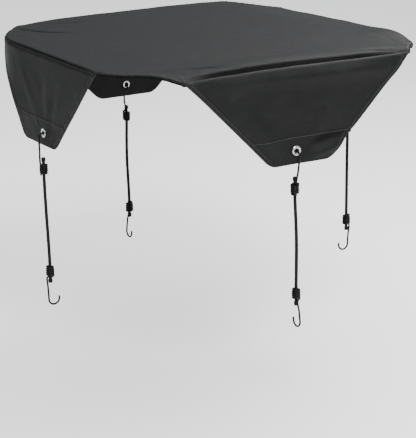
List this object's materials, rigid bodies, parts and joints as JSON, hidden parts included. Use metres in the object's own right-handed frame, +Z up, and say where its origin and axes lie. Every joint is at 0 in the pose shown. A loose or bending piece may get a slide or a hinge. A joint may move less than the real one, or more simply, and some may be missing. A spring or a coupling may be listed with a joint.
{
  "type": "air conditioner cover",
  "caption": "Fitted top cover of coated cloth for a square outdoor air conditioning unit: a flat top with tapered hanging flaps, each held down by an eyelet and a hooked elastic cord.",
  "frame": {"origin": "centre of the underside of the top, where the cover rests on the top of the unit that it fits", "axes": "+Z up, -Y out of the front flap, +X out of the right flap"},
  "size_m": [0.9352, 0.9352, 0.6767],
  "materials": {
    "coated_cloth": "satin black coated cloth",
    "eyelet_metal": "polished",
    "coated_wire": "black plastic coat on steel wire",
    "elastic_cord": "black braided sleeve"
  },
  "bodies": {
    "root": {"cover": "coated_cloth", "eyelet_front": "eyelet_metal", "eyelet_right": "eyelet_metal", "eyelet_back": "eyelet_metal", "eyelet_left": "eyelet_metal", "hook_upper_front": "coated_wire", "hook_upper_right": "coated_wire", "hook_upper_back": "coated_wire", "hook_upper_left": "coated_wire", "hook_lower_front": "coated_wire", "hook_lower_right": "coated_wire", "hook_lower_back": "coated_wire", "hook_lower_left": "coated_wire", "cord_front": "elastic_cord", "cord_right": "elastic_cord", "cord_back": "elastic_cord", "cord_left": "elastic_cord", "knob_upper_front": "elastic_cord", "knob_upper_right": "elastic_cord", "knob_upper_back": "elastic_cord", "knob_upper_left": "elastic_cord", "knob_lower_front": "elastic_cord", "knob_lower_right": "elastic_cord", "knob_lower_back": "elastic_cord", "knob_lower_left": "elastic_cord"}
  },
  "joints": []
}
